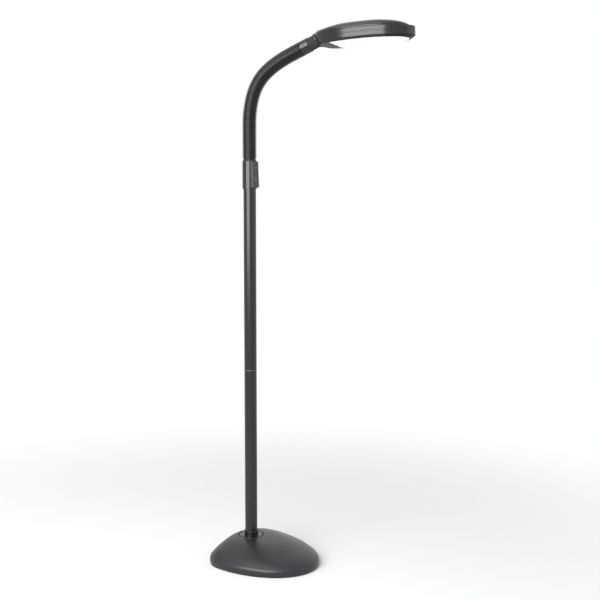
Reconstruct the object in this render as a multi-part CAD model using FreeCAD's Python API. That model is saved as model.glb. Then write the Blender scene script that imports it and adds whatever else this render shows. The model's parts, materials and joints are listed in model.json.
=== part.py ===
import FreeCAD, Part
import math
import os

# Gooseneck reading floor lamp, in millimetres.
# X points forward, over the long end of the base and under the lamp head. Y is the lamp's left, Z is up.
# The origin is the pole's axis on the floor.

# Clearances
seat_gap = 0.1            # round fixed pieces that slide into one another
turn_gap = 0.05           # round the swivel stem
ball_gap = 0.2            # between a neck ball and its socket
travel_gap = 0.3          # between pieces that move past one another

# Base
grip_pad_thickness = 2.0
cover_thickness = 2.4
rim_lift = 0.8            # the shell's rim stands this far off the floor
base_front = 179.1        # pole axis to the front tip
base_back = 59.6          # pole axis to the back
base_half_width = 114.8
base_widest_x = 15.2
base_front_power = 2.03    # 2 is an ellipse, more is squarer
base_back_power = 3.0
base_wall = 3.0
base_side_height = 9.9   # height of the widest line
base_rim_draft = 1.2
base_shoulder_height = 28.3
base_shoulder_inset = 9.8
base_slope = 0.04         # the shoulder falls this much for each millimetre forward
base_top_height = 51.1
base_flat_radius = 35.0   # round flat about the pole
recess_radius = 29.6
recess_depth = 3.2
escutcheon_radius = 27.4
escutcheon_thickness = 3.2
weight_inset = 17.0
weight_thickness = 12.0
weight_hole_radius = 14.0
cord_groove_width = 9.0
cord_room = 1.0           # between the cord and its groove's roof
boss_radius = 5.0
boss_front_x = 140.0
boss_side_x = 50.0
boss_side_y = 80.0
boss_back_x = -34.0
boss_back_y = 64.0
cover_screw_radius = 1.8
cover_screw_length = 16.0
socket_flange_radius = 31.0
socket_flange_thickness = 3.0
socket_wall = 2.2
socket_screw_radius = 2.5
socket_screw_ring = 23.5
foot_collar_radius = 16.3
foot_collar_height = 10.5
bushing_height = 12.0     # its axis above the floor
bushing_seat = 0.6        # depth of the flat cut for its flange
bushing_bore = 3.0
bushing_wall = 1.9
bushing_flange = 2.4
bushing_length = 9.0
cord_radius = 2.4
cord_bend = 14.0

# Pole
pole_radius = 14.3
pole_wall = 1.2
pole_joint_height = 439.0
joint_ring_height = 2.2
joint_ring_proud = 0.25
coupler_length = 64.0
coupler_wall = 2.0

# Control collar
collar_bottom = 854.9
collar_length = 66.0
collar_radius = 16.5
collar_wall = 2.2
collar_chamfer_height = 4.6
collar_chamfer = 2.2
collar_pole_depth = 13.0
collar_roof = 6.0
pad_half_width = 10.8
pad_proud_bottom = 3.6    # the pad's face stands this far off the collar at its lower end
pad_proud_top = 1.0
pad_margin_bottom = 2.6
pad_margin_top = 4.8
pad_edge_radius = 1.7
window_half_width = 9.4
window_margin = 3.0
button_radius = 2.6
button_proud = 0.5
button_travel = 0.6
button_flange = 0.6
button_flange_thickness = 0.8
button_rise = 13.7        # of the upper and lower buttons from the middle
button_spread = 6.0       # of the side buttons from the middle
buttons_drop = 31.1       # from the collar's top to the middle of the buttons
board_half_width = 8.6
board_thickness = 1.6
board_half_height = 18.6
switch_half_width = 2.2
switch_height = 2.3
plunger_radius = 1.4
plunger_height = 0.5
board_post_radius = 1.7
board_post_y = 6.2
board_post_z = 9.0

# Neck
stem_radius = 8.0
stem_bore = 4.0
stem_nut_radius = 11.0
stem_nut_thickness = 5.0
stem_thread = 2.0
neck_stub = 10.5          # collar to the first ball
link_length = 18.0
link_count = 16
crest_radius = 16.2
valley_radius = 13.4
sleeve_wall = 1.1
crest_flat = 0.5
link_ribs = 4
joint_rib_offset = 2.85   # from a joint to the next crest
joint_half_gap = 2.15
ball_radius = 8.6
ball_neck_radius = 5.0
wire_bore = 2.6
socket_lip = 4.0          # the socket reaches this far past the ball's middle
cup_wall = 2.4
web_top = 7.6             # from a link's upper joint down to its web
web_height = 4.4
neck_side_turn = 17.0     # the whole neck is turned this much from X towards Y
neck_straight = 80.1
low_arc_length = 60.2
low_arc_turn = 16.3
mid_arc_length = 71.2
mid_arc_turn = 37.9
top_arc_length = 58.8
top_arc_turn = 12.9
ferrule_radius = 16.0
ferrule_length = 23.5
ring_radius = 14.6
ring_length = 16.0
spigot_radius = 10.8
spigot_seat = 4.0         # the full spigot enters the head this far
spigot_thread_radius = 8.0
spigot_thread_length = 12.0
ferrule_nut_radius = 11.6
ferrule_nut_thickness = 4.5

# Lamp head, from the middle of its socket's mouth
head_tilt = 1.9           # its tip stands up from level by this many degrees
mouth_tilt = 9.0          # the mouth's face leans this much less than the neck's end
mouth_radius = 15.9
mouth_wall = 8.0          # depth of the wall that the ferrule nut pulls against
socket_depth = 12.0       # the head is solid up to here
head_root = 8.0           # where the racket outline starts
head_root_width = 15.0    # its half-width there
head_widest_x = 116.0
head_half_width = 57.5
head_length = 222.0
head_shoulder_power = 0.43
head_bottom = -13.3
head_wall_bottom = -8.0
head_seam = 1.0
head_wall_top = 10.3
head_crown_top = 29.5
head_wall = 2.2
bezel_wall = 2.5
bezel_floor = 3.2
bezel_chamfer = 2.0
bezel_tip_chamfer = 9.0
band_roof = 2.0
ledge = 1.0               # round the foot of the crown
tip_ledge = 11.0
crown_start = 20.0
crown_peak_x = 105.0
crown_ridge = 20.0        # half its length
throat_x = 26.0           # where the swelling behind the mouth is this wide and high
throat_half_width = 30.0
throat_top = 27.5
throat_end_x = 58.0
throat_end_half_width = 40.0
throat_end_top = 31.0
panel_start = 46.6
panel_start_half_width = 43.0
panel_half_width = 53.5
panel_tip = 208.6
diffuser_proud = 0.6
diffuser_flange = 1.2
diffuser_flange_thickness = 1.2
guide_thickness = 2.5
led_gap = 0.8
led_height = 0.8
led_length = 3.5
led_width = 2.8
led_margin = 14.0
led_pitch_x = 15.0
led_pitch_y = 14.0
led_rows = 3              # each side of the middle row
led_board_thickness = 1.6
board_inset = 2.0
spreader_thickness = 1.5
head_post_radius = 3.2
head_screw_radius = 1.3
head_screw_head = 2.6
head_screw_length = 9.0

# Worked out from the above
pole_bore = pole_radius - pole_wall
weight_bottom = grip_pad_thickness + cover_thickness
weight_top = weight_bottom + weight_thickness
socket_top = base_top_height - recess_depth - seat_gap
pole_foot = weight_top + socket_flange_thickness
collar_top = collar_bottom + collar_length
pole_top = collar_bottom + collar_pole_depth
collar_bore = collar_radius - collar_wall
buttons_z = collar_top - buttons_drop
neck_root = collar_top + travel_gap
sleeve_bore = valley_radius - sleeve_wall
cup_bore = ball_radius + ball_gap
cup_radius = cup_bore + cup_wall
pocket_plane = collar_radius - 0.5
V = FreeCAD.Vector


def cylinder(radius, height, z=0.0, x=0.0, y=0.0):
    return Part.makeCylinder(radius, height, V(x, y, z))


def cylinder_x(radius, x_low, x_high, y, z):
    return Part.makeCylinder(radius, x_high - x_low, V(x_low, y, z), V(1, 0, 0))


def box(x_low, x_high, y_low, y_high, z_low, z_high):
    return Part.makeBox(x_high - x_low, y_high - y_low, z_high - z_low, V(x_low, y_low, z_low))


def turned(profile):
    """Solid turned about Z from a closed list of (radius, height) points."""
    points = [V(r, 0, z) for r, z in profile]
    face = Part.Face(Part.makePolygon(points + points[:1]))
    return face.revolve(V(0, 0, 0), V(0, 0, 1), 360)


def smooth_ring(points):
    """Closed smooth wire through points."""
    curve = Part.BSplineCurve()
    curve.interpolate(points, PeriodicFlag=True)
    return Part.Wire(curve.toShape())


def smooth_loft(rings):
    """Solid through rings, of the third degree so that it stays close between them."""
    return Part.makeLoft(rings, True, False, False, 3)


def slab(wire, height):
    return Part.Face(wire).extrude(V(0, 0, height))


def save(name, shape):
    if shape.ShapeType == "Compound" and len(shape.Solids) == 1:
        shape = shape.Solids[0]
    print(name, "solids", len(shape.Solids), "volume", round(shape.Volume), "valid", shape.isValid())
    shape.exportStep("parts/" + name + ".step")


# ---- base ----

def egg_point(angle, inset):
    """Point of the base's plan outline, drawn in by inset: one superellipse in front of the widest line
    and a squarer one behind it."""
    c = math.cos(angle)
    s = math.sin(angle)
    power = base_front_power if c > 0 else base_back_power
    reach = base_front - base_widest_x if c > 0 else base_back + base_widest_x
    x = base_widest_x + math.copysign((reach - inset) * abs(c) ** (2 / power), c)
    y = math.copysign((base_half_width - inset) * abs(s) ** (2 / power), s)
    return x, y


def egg_angles():
    return [math.radians(15 * k) for k in range(24)]


def shoulder_height(x):
    return base_shoulder_height - base_slope * (x - base_widest_x)


def egg_ring(inset, z):
    return smooth_ring([V(*egg_point(a, inset), z) for a in egg_angles()])


def side_ring(inset, rise, wall):
    """Ring on the side: rise is 0 at the widest line and 1 at the shoulder."""
    points = []
    for a in egg_angles():
        x, y = egg_point(a, inset + wall)
        shoulder_x, _ = egg_point(a, base_shoulder_inset)
        high = shoulder_height(shoulder_x) - wall
        points.append(V(x, y, base_side_height + (high - base_side_height) * rise))
    return smooth_ring(points)


def top_ring(share, wall):
    """Ring on the crowned top: share is 0 at the shoulder and 1 at the flat about the pole."""
    points = []
    for a in egg_angles():
        x, y = egg_point(a, base_shoulder_inset)
        z = shoulder_height(x)
        lift = 1 - (1 - share) ** 1.7
        inner_x = base_flat_radius * math.cos(a)
        inner_y = base_flat_radius * math.sin(a)
        points.append(V(x + (inner_x - x) * share, y + (inner_y - y) * share,
                        z + (base_top_height - z) * lift - wall))
    return smooth_ring(points)


def base_form(wall, foot):
    """The base's outer form, or its hollow when wall is more than 0."""
    rings = [egg_ring(base_rim_draft + wall, foot), egg_ring(wall, base_side_height)]
    rings += [side_ring(base_shoulder_inset * 0.14, 0.46, wall), side_ring(base_shoulder_inset * 0.68, 0.8, wall)]
    rings += [top_ring(0.04, wall), top_ring(0.3, wall), top_ring(0.65, wall), top_ring(1.0, wall)]
    return smooth_loft(rings)


def boss_places():
    places = [(boss_front_x, 0.0)]
    for side in (-1, 1):
        places.append((boss_side_x, side * boss_side_y))
        places.append((boss_back_x, side * boss_back_y))
    return places


def base_shell():
    outer = base_form(0.0, rim_lift)
    shell = outer.cut(base_form(base_wall, rim_lift - 1.0))
    for x, y in boss_places():
        boss = cylinder(boss_radius, base_top_height, weight_bottom, x, y).common(outer)
        boss = boss.cut(cylinder(cover_screw_radius, cover_screw_length, weight_bottom - 1.0, x, y))
        shell = shell.fuse(boss)
    shell = shell.cut(cylinder(recess_radius, recess_depth + 5.0, base_top_height - recess_depth))
    shell = shell.cut(cylinder(pole_radius + socket_wall + seat_gap * 2, base_top_height, weight_top))
    outer = bushing_bore + bushing_wall
    shell = shell.cut(cylinder_x(outer + seat_gap, -base_back - 5.0, -base_back + base_wall * 3, 0, bushing_height))
    return shell.cut(cylinder_x(outer + bushing_flange + travel_gap, -base_back - 5.0, bushing_face(),
                                0, bushing_height))


def bushing_face():
    return -base_back + bushing_seat


def bottom_cover():
    reach = base_front + base_back
    layer = box(-reach, reach, -reach, reach, grip_pad_thickness, grip_pad_thickness + cover_thickness)
    cover = base_form(base_wall + seat_gap * 3, rim_lift - 1.0).common(layer)
    for x, y in boss_places():
        cover = cover.cut(cylinder(cover_screw_radius, cover_thickness * 2, 1.0, x, y))
        cover = cover.cut(Part.makeCone(cover_screw_radius * 2, cover_screw_radius, cover_screw_radius,
                                        V(x, y, grip_pad_thickness)))
    return cover


def grip_pad():
    return slab(egg_ring(base_wall + base_rim_draft + 5.0, 0.0), grip_pad_thickness)


def cover_screws():
    screws = []
    for x, y in boss_places():
        head = Part.makeCone(cover_screw_radius * 2, cover_screw_radius, cover_screw_radius,
                             V(x, y, grip_pad_thickness))
        slot = box(x - 0.4, x + 0.4, y - 3.0, y + 3.0, grip_pad_thickness, grip_pad_thickness + 0.6)
        shank = cylinder(cover_screw_radius, cover_screw_length - 2.0, grip_pad_thickness, x, y)
        screws.append(head.fuse(shank).cut(slot))
    return Part.makeCompound(screws)


def base_weight():
    weight = slab(egg_ring(weight_inset, weight_bottom), weight_thickness)
    weight = weight.cut(cylinder(weight_hole_radius, weight_thickness + 2.0, weight_bottom - 1.0))
    weight = weight.cut(box(-base_back, 0, -cord_groove_width / 2, cord_groove_width / 2,
                            weight_bottom - 1.0, bushing_height + cord_radius + cord_room))
    for x, y in boss_places():
        weight = weight.cut(cylinder(boss_radius + 1.0, weight_thickness + 2.0, weight_bottom - 1.0, x, y))
    for x, y in socket_screw_places():
        weight = weight.cut(cylinder(socket_screw_radius, weight_thickness + 2.0, weight_bottom - 1.0, x, y))
        weight = weight.cut(cylinder(socket_screw_radius * 2, 4.0, weight_bottom - 1.0, x, y))
    return weight


def socket_screw_places():
    return [(socket_screw_ring * math.cos(math.radians(120 * k)),
             socket_screw_ring * math.sin(math.radians(120 * k))) for k in range(3)]


def pole_socket():
    outer = pole_radius + seat_gap + socket_wall
    cup = turned([(weight_hole_radius - 4.0, weight_top), (socket_flange_radius, weight_top),
                  (socket_flange_radius, pole_foot), (outer, pole_foot), (outer, socket_top),
                  (pole_radius + seat_gap, socket_top), (pole_radius + seat_gap, pole_foot),
                  (weight_hole_radius - 4.0, pole_foot)])
    for x, y in socket_screw_places():
        cup = cup.cut(cylinder(socket_screw_radius, socket_flange_thickness + 2.0, weight_top - 1.0, x, y))
    return cup


def socket_screws():
    screws = []
    for x, y in socket_screw_places():
        head = cylinder(socket_screw_radius * 1.8, 2.8, weight_bottom + 0.2, x, y)
        head = head.cut(cylinder(socket_screw_radius * 0.7, 1.5, weight_bottom + 0.2, x, y))
        shank = cylinder(socket_screw_radius, pole_foot - weight_bottom - 2.0, weight_bottom + 2.0, x, y)
        screws.append(head.fuse(shank))
    return Part.makeCompound(screws)


def escutcheon():
    low = base_top_height - recess_depth
    high = low + escutcheon_thickness
    inner = pole_radius + seat_gap
    edge = 1.2
    return turned([(inner, low), (escutcheon_radius, low), (escutcheon_radius, high - edge),
                   (escutcheon_radius - edge, high), (inner, high + 0.6)])


def foot_collar():
    low = base_top_height - recess_depth + escutcheon_thickness + 0.6
    high = low + foot_collar_height
    inner = pole_radius + seat_gap
    bend = foot_collar_radius - inner
    return turned([(inner, low), (foot_collar_radius, low), (foot_collar_radius, high - bend * 1.6),
                   (foot_collar_radius - bend * 0.3, high - bend * 0.6), (inner + bend * 0.2, high),
                   (inner, high)])


def cord_bushing():
    outer = bushing_bore + bushing_wall
    face = bushing_face()
    tube = cylinder_x(outer, face, face + bushing_length, 0, bushing_height)
    flange = cylinder_x(outer + bushing_flange, face - 2.2, face, 0, bushing_height)
    latch = cylinder_x(outer + 0.8, -base_back + base_wall + 1.4, -base_back + base_wall + 2.6, 0, bushing_height)
    bushing = tube.fuse(flange).fuse(latch).removeSplitter()
    return bushing.cut(cylinder_x(bushing_bore, face - 5.0, face + bushing_length + 5.0, 0, bushing_height))


def inside_cord():
    """Runs from the bushing along the weight's groove, bends up and climbs inside the pole."""
    start = V(bushing_face() + bushing_length + travel_gap, 0, bushing_height)
    corner = V(-cord_bend, 0, bushing_height)
    middle = V(-cord_bend + cord_bend * math.sin(math.radians(45)), 0,
               bushing_height + cord_bend * (1 - math.cos(math.radians(45))))
    rise = V(0, 0, bushing_height + cord_bend)
    top = V(0, 0, pole_top - 1.0)
    path = Part.Wire([Part.LineSegment(start, corner).toShape(), Part.Arc(corner, middle, rise).toShape(),
                      Part.LineSegment(rise, top).toShape()])
    profile = Part.Wire(Part.makeCircle(cord_radius, start, V(1, 0, 0)))
    return path.makePipeShell([profile], True, False)


# ---- pole ----

def pole_tube(low, high):
    return cylinder(pole_radius, high - low, low).cut(cylinder(pole_bore, high - low, low))


def lower_pole():
    return pole_tube(pole_foot, pole_joint_height)


def upper_pole():
    return pole_tube(pole_joint_height + joint_ring_height, pole_top)


def pole_coupler():
    ring_top = pole_joint_height + joint_ring_height
    middle = pole_joint_height + joint_ring_height / 2
    outer = pole_bore - seat_gap
    ring = pole_radius + joint_ring_proud
    return turned([(outer - coupler_wall, middle - coupler_length / 2), (outer, middle - coupler_length / 2),
                   (outer, pole_joint_height), (ring, pole_joint_height), (ring, ring_top), (outer, ring_top),
                   (outer, middle + coupler_length / 2), (outer - coupler_wall, middle + coupler_length / 2)])


# ---- control collar ----

def pad_face(z):
    """How far forward the control pad's face stands at a height."""
    low = collar_bottom + pad_margin_bottom
    high = collar_top - pad_margin_top
    share = (z - low) / (high - low)
    return collar_radius + pad_proud_bottom + (pad_proud_top - pad_proud_bottom) * share


def window():
    return box(0, collar_radius * 2, -window_half_width, window_half_width,
               collar_bottom + pad_margin_bottom + window_margin, collar_top - pad_margin_top - window_margin)


def collar_housing():
    inner = pole_radius + seat_gap
    roof = collar_top - collar_roof
    hole = stem_radius + turn_gap
    body = turned([(inner, collar_bottom), (collar_radius, collar_bottom),
                   (collar_radius, collar_top - collar_chamfer_height),
                   (collar_radius - collar_chamfer, collar_top), (hole, collar_top), (hole, roof),
                   (collar_bore, roof), (collar_bore, pole_top + 2.0), (pole_bore, pole_top + 2.0),
                   (pole_bore, pole_top), (inner, pole_top)])
    return body.cut(window())


def control_pad():
    low = collar_bottom + pad_margin_bottom
    high = collar_top - pad_margin_top
    corners = [V(0, 0, low), V(pad_face(low), 0, low), V(pad_face(high), 0, high), V(0, 0, high)]
    wedge = Part.Face(Part.makePolygon(corners + corners[:1])).extrude(V(0, pad_half_width * 2, 0))
    wedge.translate(V(0, -pad_half_width, 0))
    rounded = [edge for edge in wedge.Edges if edge.BoundBox.XMin > collar_radius * 0.9]
    wedge = wedge.makeFillet(pad_edge_radius, rounded)
    pad = wedge.cut(cylinder(collar_radius + seat_gap / 2, collar_length, collar_bottom))
    pocket = window().common(box(0, pocket_plane, -window_half_width, window_half_width, low, high))
    pad = pad.cut(pocket)
    for y, z in board_posts():
        pad = pad.fuse(cylinder_x(board_post_radius, board_front() + seat_gap, pocket_plane + 0.2, y, z))
    for y, z in button_places():
        pad = pad.cut(cylinder_x(button_radius + travel_gap, 0, collar_radius * 2, y, z))
    return pad


def button_places():
    return [(0.0, buttons_z + button_rise), (button_spread, buttons_z),
            (-button_spread, buttons_z), (0.0, buttons_z - button_rise)]


def board_posts():
    return [(board_post_y, buttons_z + board_post_z), (-board_post_y, buttons_z - board_post_z)]


def flange_back():
    return pocket_plane - travel_gap - button_flange_thickness


def stem_end():
    return flange_back() - 0.6


def board_front():
    """The board's face, so that a pressed button still clears its switch."""
    return stem_end() - button_travel - travel_gap - plunger_height - switch_height


def push_button(y, z):
    front = pad_face(z) + button_proud
    cap = cylinder_x(button_radius, flange_back(), front, y, z)
    rim = [edge for edge in cap.Edges if edge.BoundBox.XMin > front - 0.01]
    cap = cap.makeFillet(0.4, rim)
    flange = cylinder_x(button_radius + travel_gap + button_flange, flange_back(),
                        flange_back() + button_flange_thickness, y, z)
    reach = window_half_width - travel_gap
    flange = flange.common(box(0, collar_radius * 2, -reach, reach, z - button_rise, z + button_rise))
    stem = cylinder_x(plunger_radius, stem_end(), flange_back() + 0.2, y, z)
    return cap.fuse(flange).fuse(stem).removeSplitter()


def control_board():
    front = board_front()
    board = box(front - board_thickness, front, -board_half_width, board_half_width,
                buttons_z - board_half_height, buttons_z + board_half_height)
    for y, z in board_posts():
        board = board.cut(cylinder_x(0.8, front - board_thickness - 1.0, front + 1.0, y, z))
    return board


def switches():
    front = board_front()
    group = []
    for y, z in button_places():
        body = box(front, front + switch_height, y - switch_half_width, y + switch_half_width,
                   z - switch_half_width, z + switch_half_width)
        plunger = cylinder_x(plunger_radius, front + switch_height - 0.2,
                             front + switch_height + plunger_height, y, z)
        group.append(body.fuse(plunger))
    return Part.makeCompound(group)


def board_screws():
    back = board_front() - board_thickness
    group = []
    for y, z in board_posts():
        head = cylinder_x(1.7, back - 1.2, back, y, z).cut(cylinder_x(0.7, back - 1.2, back - 0.6, y, z))
        group.append(head.fuse(cylinder_x(0.8, back - 0.2, back + board_thickness, y, z)))
    return Part.makeCompound(group)


# ---- neck ----

def neck_heading(run):
    """The neck's lean from upright, in degrees, at a length along it: straight, then three arcs."""
    low = min(max(run - neck_straight, 0.0) / low_arc_length, 1.0)
    mid = min(max(run - neck_straight - low_arc_length, 0.0) / mid_arc_length, 1.0)
    top = min(max(run - neck_straight - low_arc_length - mid_arc_length, 0.0) / top_arc_length, 1.0)
    return low * low_arc_turn + mid * mid_arc_turn + top * top_arc_turn


def neck_frames():
    """Ball centres with the lean of the link that starts there; the last is the ferrule's."""
    x = 0.0
    z = neck_root + neck_stub
    frames = []
    for k in range(link_count):
        lean = neck_heading(neck_stub + link_length * (k + 0.5))
        frames.append((x, z, lean))
        x += link_length * math.sin(math.radians(lean))
        z += link_length * math.cos(math.radians(lean))
    frames.append((x, z, neck_heading(neck_stub + link_length * (link_count + 0.5))))
    return frames


def put(shape, frame):
    """Sets a piece at its place along the neck, with the neck turned to its side."""
    x, z, lean = frame
    shape = shape.copy()
    turn = FreeCAD.Placement(V(0, 0, 0), FreeCAD.Rotation(V(0, 0, 1), neck_side_turn))
    shape.Placement = turn.multiply(FreeCAD.Placement(V(x, 0, z), FreeCAD.Rotation(V(0, 1, 0), lean)))
    return shape


def rib_profile(low, high, first, last, ribs):
    """Outer line of a ribbed sleeve from low to high, with crests evenly spaced from first to last."""
    step = (last - first) / max(ribs - 1, 1)
    line = [(valley_radius, low)]
    for k in range(ribs):
        crest = first + step * k
        line += [(crest_radius, crest - crest_flat / 2), (crest_radius, crest + crest_flat / 2)]
        if k < ribs - 1:
            line += [(valley_radius, crest + step / 2 - crest_flat / 2),
                     (valley_radius, crest + step / 2 + crest_flat / 2)]
    line.append((valley_radius, high))
    return line


def ball(z):
    """Ball on its neck, reaching down from its centre."""
    sphere = Part.makeSphere(ball_radius, V(0, 0, z))
    return sphere.fuse(cylinder(ball_neck_radius, web_top, z - web_top))


def cup(z, dome):
    """Socket round the ball at z, closed above; dome is the height of its roof."""
    skirt = cylinder(cup_radius, socket_lip + dome, z - socket_lip)
    return skirt.cut(Part.makeSphere(cup_bore, V(0, 0, z)))


def neck_link():
    """One vertebra: socket below, web, ball above, inside its stretch of ribbed sleeve."""
    low = joint_half_gap
    high = link_length - joint_half_gap
    web_high = link_length - web_top
    web_low = web_high - web_height
    line = rib_profile(low, high, joint_rib_offset, link_length - joint_rib_offset, link_ribs)
    sleeve = turned(line + [(sleeve_bore, high), (sleeve_bore, low)])
    web = cylinder(sleeve_bore + sleeve_wall / 2, web_height, web_low)
    web = web.cut(Part.makeSphere(cup_bore, V(0, 0, 0)))
    link = sleeve.fuse(web).fuse(cup(0.0, web_low + 1.0)).fuse(ball(link_length))
    return link.cut(cylinder(wire_bore, link_length * 2, 0.0))


def neck_root_fitting():
    """Swivel stem through the collar's roof, with the first stretch of sleeve and the first ball."""
    bottom = -(collar_roof + stem_nut_thickness + travel_gap + stem_thread)
    top = neck_stub - joint_half_gap
    web_high = neck_stub - web_top
    seat = collar_radius - collar_chamfer - 0.2
    crest = neck_stub - joint_rib_offset
    outline = [(stem_bore, bottom), (stem_radius, bottom), (stem_radius, 0.0), (seat, 0.0), (seat, 1.6),
               (valley_radius, 2.0), (valley_radius, crest - 4.1 + crest_flat)]
    outline += [(crest_radius, crest - crest_flat / 2), (crest_radius, crest + crest_flat / 2),
                (valley_radius, top), (sleeve_bore, top), (sleeve_bore, web_high), (stem_bore, web_high)]
    fitting = turned(outline).fuse(ball(neck_stub))
    fitting = fitting.cut(cylinder(wire_bore, neck_stub * 2, 0.0))
    fitting.translate(V(0, 0, neck_root))
    return fitting


def stem_nut():
    high = collar_top - collar_roof - travel_gap
    corners = [V(stem_nut_radius * math.cos(math.radians(60 * k)), stem_nut_radius * math.sin(math.radians(60 * k)),
                 high - stem_nut_thickness) for k in range(7)]
    nut = Part.Face(Part.makePolygon(corners)).extrude(V(0, 0, stem_nut_thickness))
    return nut.cut(cylinder(stem_radius + turn_gap, stem_nut_thickness * 2, high - stem_nut_thickness * 1.5))


def ferrule():
    """Smooth upper end of the neck: socket, sleeve and the spigot that goes into the head."""
    low = joint_half_gap
    shoulder = ferrule_length
    edge = 1.0
    skin = turned([(sleeve_bore, low), (valley_radius, low), (ferrule_radius, low + edge * 1.5),
                   (ferrule_radius, shoulder - edge), (ferrule_radius - edge, shoulder),
                   (wire_bore, shoulder), (wire_bore, web_height + 6.0), (sleeve_bore, web_height + 6.0)])
    spigot = cylinder(spigot_radius, ring_length + spigot_seat, shoulder)
    thread = cylinder(spigot_thread_radius, ring_length + spigot_seat + spigot_thread_length, shoulder)
    piece = skin.fuse(cup(0.0, web_height + 7.0)).fuse(spigot).fuse(thread)
    return piece.cut(cylinder(wire_bore, ferrule_length * 4, 0.0)).removeSplitter()


def beyond_mouth(tilt):
    """Everything on the neck's side of the mouth's face, with the face leaning by tilt from upright."""
    out = V(math.sin(math.radians(tilt)), 0, math.cos(math.radians(tilt)))
    reach = head_length
    return Part.makeCylinder(reach, reach, out * -reach, out)


def seal_ring():
    """Fills the wedge between the ferrule's flat shoulder and the mouth's steeper face."""
    low = ferrule_length
    ring = cylinder(ring_radius, ring_length * 2, low).cut(cylinder(spigot_radius + seat_gap / 2,
                                                                    ring_length * 2, low))
    keep = beyond_mouth(-mouth_tilt)
    keep.translate(V(0, 0, low + ring_length))
    return ring.common(keep)


def ferrule_nut():
    low = ferrule_length + ring_length + mouth_wall
    corners = [V(ferrule_nut_radius * math.cos(math.radians(60 * k)),
                 ferrule_nut_radius * math.sin(math.radians(60 * k)), low) for k in range(7)]
    nut = Part.Face(Part.makePolygon(corners)).extrude(V(0, 0, ferrule_nut_thickness))
    return nut.cut(cylinder(spigot_thread_radius + turn_gap, ferrule_nut_thickness * 2, low - 1.0))


def mouth_frame():
    """Place of the head: the middle of its socket's mouth, tip up by its tilt."""
    x, z, lean = neck_frames()[-1]
    reach = ferrule_length + ring_length
    return x + reach * math.sin(math.radians(lean)), z + reach * math.cos(math.radians(lean)), -head_tilt


# ---- lamp head ----

def head_outline(start, tip, half_width, root_width, widest, z):
    """Racket outline: widens from the neck along a sine, then closes with a half ellipse."""
    side = []
    for k in range(5):
        share = math.sin(math.radians(90 * k / 5)) ** head_shoulder_power
        side.append((start + (widest - start) * k / 5, root_width + (half_width - root_width) * share))
    for k in range(5):
        angle = math.radians(18 * k)
        side.append((widest + (tip - widest) * math.sin(angle), half_width * math.cos(angle)))
    points = [V(x, -y, z) for x, y in side]
    points.append(V(tip, 0, z))
    points += [V(x, y, z) for x, y in reversed(side)]
    return points


def head_ring(inset, z, tip_inset):
    return smooth_ring(head_outline(head_root, head_length - tip_inset, head_half_width - inset,
                                    head_root_width - inset, head_widest_x, z))


def crown_ring(share, z, wall):
    """Ring of the crown: share is 0 at the ledge and 1 at the top."""
    low = crown_start + wall
    high = head_length - tip_ledge - wall
    start = low + (crown_peak_x - crown_ridge - low) * share
    tip = high + (crown_peak_x + crown_ridge - high) * share
    half_width = (head_half_width - ledge - wall) * (1 - 0.8 * share)
    root_width = (head_root_width - ledge - wall) * (1 - 0.7 * share)
    widest = head_widest_x + (crown_peak_x - head_widest_x) * share
    return smooth_ring(head_outline(start, tip, half_width, root_width, widest, z))


def crown_form(wall):
    """The crown's outer form, or its hollow when wall is more than 0."""
    rise = head_crown_top - head_wall_top - wall
    rings = []
    for lift in (0.0, 0.3, 0.58, 0.8, 0.94, 1.0):
        share = 1 - math.sqrt(1 - lift ** 2)
        rings.append(crown_ring(share, head_wall_top + rise * lift, wall))
    return smooth_loft(rings)


def neck_lean():
    """Lean of the neck's end, seen from the head."""
    return neck_frames()[-1][2] + head_tilt


def along_neck(distance):
    lean = math.radians(neck_lean())
    return V(distance * math.sin(lean), 0, distance * math.cos(lean))


def throat_form():
    """Swelling from the round mouth to the head, inside which the ferrule is held."""
    lean = math.radians(neck_lean() - mouth_tilt)
    rings = [[V(-math.cos(lean) * mouth_radius * math.sin(a), mouth_radius * math.cos(a),
                math.sin(lean) * mouth_radius * math.sin(a)) for a in ring_angles()]]
    for x, width, high in ((throat_x, throat_half_width, throat_top),
                           (throat_end_x, throat_end_half_width, throat_end_top)):
        low = head_bottom + bezel_chamfer / 2
        rings.append([V(x, width * math.cos(a), (low + high) / 2 + (high - low) / 2 * math.sin(a))
                      for a in ring_angles()])
    return smooth_loft([smooth_ring(ring) for ring in rings])


def ring_angles():
    return [math.radians(30 * k) for k in range(12)]


def to_head(shape):
    return put(shape, mouth_frame())


def slice_between(shape, low, high):
    return shape.common(box(-head_root * 3, head_length * 1.2, -head_length, head_length, low, high))


def socket_bore():
    """Stepped hole for the spigot, with room for its nut beyond the wall, and all that lies past the mouth."""
    lean = neck_lean()
    axis = along_neck(1.0)
    spigot = Part.makeCylinder(spigot_radius + seat_gap / 2, spigot_seat * 2, axis * -spigot_seat, axis)
    thread = Part.makeCylinder(spigot_thread_radius + seat_gap, mouth_wall * 2, V(0, 0, 0), axis)
    pocket = Part.makeCylinder(ferrule_nut_radius + travel_gap * 2, spigot_thread_length * 2,
                               axis * mouth_wall, axis)
    return spigot.fuse(thread).fuse(pocket).fuse(beyond_mouth(lean - mouth_tilt))


def hollow_between(low, high, inset, tip_inset):
    """Inside of the head's outline between two heights, ahead of the solid socket."""
    prism = slab(head_ring(inset, low, tip_inset), high - low)
    return prism.common(box(socket_depth, head_length, -head_length, head_length, low, high))


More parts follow.
